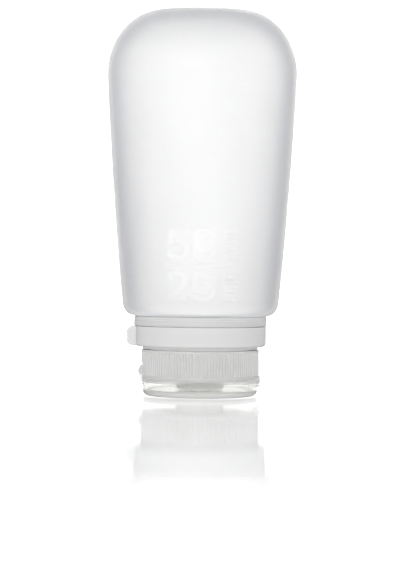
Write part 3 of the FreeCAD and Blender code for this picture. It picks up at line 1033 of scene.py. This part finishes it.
@dataclass
class CapAndValve:
    """The ribbed cap with its nozzle, the slit valve, the retainer and the lid's pin."""

    cap_finish: SatinPlastic = SatinPlastic(
        name="cap_plastic_satin",
        tint=(0.7, 0.7, 0.69),
        pale_tint=(0.73, 0.73, 0.725),
        roughness=(0.3, 0.42),
        transmission=0.2,
    )
    retainer_finish: SatinPlastic = SatinPlastic(
        name="retainer_plastic_satin",
        tint=(0.8, 0.8, 0.79),
        pale_tint=(0.88, 0.88, 0.88),
        roughness=(0.35, 0.5),
        transmission=0.0,
    )
    valve_finish: MilkySilicone = MilkySilicone(
        name="valve_silicone_frosted",
        clear_tint=(0.9, 0.9, 0.91),
        milky_tint=(0.95, 0.95, 0.955),
        roughness=(0.45, 0.6),
        transmission=0.5,
    )
    pin_finish: DrawnSteel = DrawnSteel(name="lid_pin_steel")

    def build(self) -> None:
        """Dresses the four CAD nodes."""
        dress(Solid.CAP, self.cap_finish.material())
        dress(Solid.RETAINER, self.retainer_finish.material())
        dress(Solid.VALVE, self.valve_finish.material())
        dress(Solid.LID_PIN, self.pin_finish.material())


@dataclass
class FlipLid:
    """The clear flip lid that the bottle stands on."""

    finish: ClearPlastic = ClearPlastic(
        name="lid_plastic_clear",
        tint=(0.9, 0.9, 0.885),
        foot_tint=(0.6, 0.6, 0.585),
        roughness=(0.14, 0.2),
        frost_roughness=0.5,
        foot_mm=2.0,
        rim_mm=16.8,
        lip_mm=4.6,
    )

    def build(self) -> None:
        """Dresses the CAD node."""
        dress(Solid.LID, self.finish.material())


@dataclass(frozen=True)
class Softbox:
    """A square soft light, which neither the camera nor the glossy floor shows."""

    name: str
    place: Place
    side: float
    watts: float

    def hang(self, aim: Vector) -> None:
        """Hangs the light.

        Args:
            aim: the point that it faces, in metres.
        """
        lamp = bpy.data.lights.new(self.name, "AREA")
        lamp.size = self.side * MM
        lamp.energy = self.watts
        piece = bpy.data.objects.new(self.name, lamp)
        bpy.context.scene.collection.objects.link(piece)
        piece.visible_camera = False
        piece.visible_glossy = False
        place = Vector([way * MM for way in self.place])
        piece.location = place
        piece.rotation_euler = (aim - place).to_track_quat("-Z", "Y").to_euler()
        log.info("hung %s", self.name)


class Axis(str, Enum):
    """The frame's axes."""

    X = "X"
    Y = "Y"
    Z = "Z"


@dataclass(frozen=True)
class SideTone:
    """The surround's colour towards one side: where along the axis it starts and is full."""

    axis: Axis
    ends: Pair
    colour: Colour


@dataclass
class Studio:
    """Pale floor, soft light and the camera at the photograph's place."""

    mm_per_pixel: float = 0.34
    frame_px: tuple[int, int] = (400, 565)
    sensor: float = 36.0
    distance: float = 540.0
    eye_height: float = 38.3
    roll_deg: float = 0.48
    axis_px: float = 200.7
    sight: float = 50000.0
    floor_half: float = 9000.0
    floor_drop: float = 0.02
    floor_squares: int = 24
    floor_tints: tuple[Colour, Colour] = ((0.34, 0.34, 0.34), (0.36, 0.36, 0.36))
    floor_roughness: Pair = (0.06, 0.08)
    floor_grain: float = 1.0
    floor_cloud: float = 160.0
    # The floor's emission by distance from the bottle's axis: an even glow far out, and nearer a
    # painted pool of light, brightest under the lid's foot where the contact shadow falls.
    painted_pool_stops: tuple[Pair, ...] = (
        (17.5, 1.1), (22.0, 0.48), (60.0, 0.36), (110.0, 0.28),
        (150.0, 0.31), (200.0, 0.36), (300.0, 0.75),
    )
    surround_strength: float = 1.39
    backdrop_tone: Colour = (1.0, 1.0, 1.0)
    base_tone: Colour = (0.38, 0.39, 0.41)
    side_tones: tuple[SideTone, ...] = (
        SideTone(Axis.X, (0.4, 0.95), (0.72, 0.73, 0.75)),
        SideTone(Axis.Y, (-0.1, -0.95), (0.80, 0.80, 0.80)),
        SideTone(Axis.Z, (0.25, 0.8), (0.32, 0.324, 0.334)),
        SideTone(Axis.Y, (0.05, 0.75), (1.1, 1.1, 1.1)),
    )
    aim_height: float = 60.0
    softboxes: tuple[Softbox, ...] = (
        Softbox("left_softbox", (-750.0, -550.0, 550.0), 500.0, 0.9),
        Softbox("front_softbox", (-100.0, -900.0, 100.0), 400.0, 3.7),
        Softbox("top_softbox", (0.0, 100.0, 1000.0), 700.0, 1.3),
    )

    def floor_finish(self) -> bpy.types.Material:
        """Builds the floor's soft gloss and its glow: even far from the bottle, and nearer it a
        painted pool of light that is brightest under the lid's foot, where the contact shadow
        falls.

        Returns:
            The material.
        """
        desk = MaterialDesk("floor_pale_gloss")
        grain = MouldedGrain().place(desk, Grain_mm=self.floor_grain, Cloud_mm=self.floor_cloud)
        cloud = grain.outputs["Cloud"]
        reach = self.painted_pool_stops[-1][0]
        glow = desk.add("ValToRGB")
        way = desk.maths("DIVIDE", desk.length(desk.own_place()), reach * MM)
        desk.give(glow.inputs["Fac"], way)
        glow.color_ramp.interpolation = "EASE"
        stops = glow.color_ramp.elements
        while len(stops) < len(self.painted_pool_stops):
            stops.new(1.0)
        for stop, (place, level) in zip(stops, self.painted_pool_stops):
            stop.position = place / reach
            stop.color = (level, level, level, 1.0)
        desk.feed(
            Base_Color=desk.blend(cloud, *self.floor_tints),
            Roughness=desk.spread(cloud, self.floor_roughness),
            # Painted pool of light round the bottle, even only far from it.
            Emission_Color=glow.outputs["Color"],
            Emission_Strength=1.0,
        )
        return desk.material

    def floor(self) -> None:
        """Builds the floor, a wide sheet."""
        build = bmesh.new()
        count = self.floor_squares
        size = self.floor_half * MM
        bmesh.ops.create_grid(build, x_segments=count, y_segments=count, size=size)
        sheet = mesh_object("studio_floor", build, self.floor_finish())
        sheet.location.z = -self.floor_drop * MM

    def surround(self) -> None:
        """Lights the room: bright behind the bottle, dimmer on the camera's side."""
        world = bpy.data.worlds.new("studio_surround")
        bpy.context.scene.world = world
        world.use_nodes = True
        desk = NodeDesk(world.node_tree)
        split = desk.add("SeparateXYZ")
        desk.give(split.inputs["Vector"], desk.add("TexCoord").outputs["Generated"])
        colour = self.base_tone
        for tone in self.side_tones:
            share = desk.rise(split.outputs[tone.axis.value], tone.ends)
            colour = desk.blend(share, colour, tone.colour)
        seen = desk.add("LightPath").outputs["Is Camera Ray"]
        back = desk.add("Background")
        desk.give(back.inputs["Color"], desk.blend(seen, colour, self.backdrop_tone))
        desk.give(back.inputs["Strength"], self.surround_strength)
        desk.give(desk.add("OutputWorld").inputs["Surface"], back.outputs["Background"])

    def camera(self) -> None:
        """Sets the camera level, at the photograph's height and distance."""
        lens = bpy.data.cameras.new("photo_camera")
        tall = self.frame_px[1] * self.mm_per_pixel
        lens.sensor_fit = "AUTO"
        lens.sensor_width = self.sensor
        lens.lens = lens.sensor_width * self.distance / tall
        lens.clip_end = self.sight * MM
        eye = bpy.data.objects.new("photo_camera", lens)
        bpy.context.scene.collection.objects.link(eye)
        aside = (self.frame_px[0] / 2 - self.axis_px) * self.mm_per_pixel
        eye.location = (aside * MM, -self.distance * MM, self.eye_height * MM)
        eye.rotation_euler = (math.pi / 2, -math.radians(self.roll_deg), 0.0)
        bpy.context.scene.camera = eye

    def build(self) -> None:
        """Sets up the whole studio."""
        self.floor()
        self.surround()
        for softbox in self.softboxes:
            softbox.hang(Vector((0.0, 0.0, self.aim_height * MM)))
        self.camera()
        bpy.context.scene.view_settings.view_transform = "Standard"


def main() -> None:
    """Builds the bottle's sub-assemblies in order, then the studio round them."""
    logging.basicConfig(level=logging.INFO, format="%(name)s: %(message)s")
    for part in (SqueezeBody(), CollarAndLoop(), CapAndValve(), FlipLid(), Studio()):
        part.build()
        log.info("%s is done", type(part).__name__)


if __name__ == "__main__":
    main()
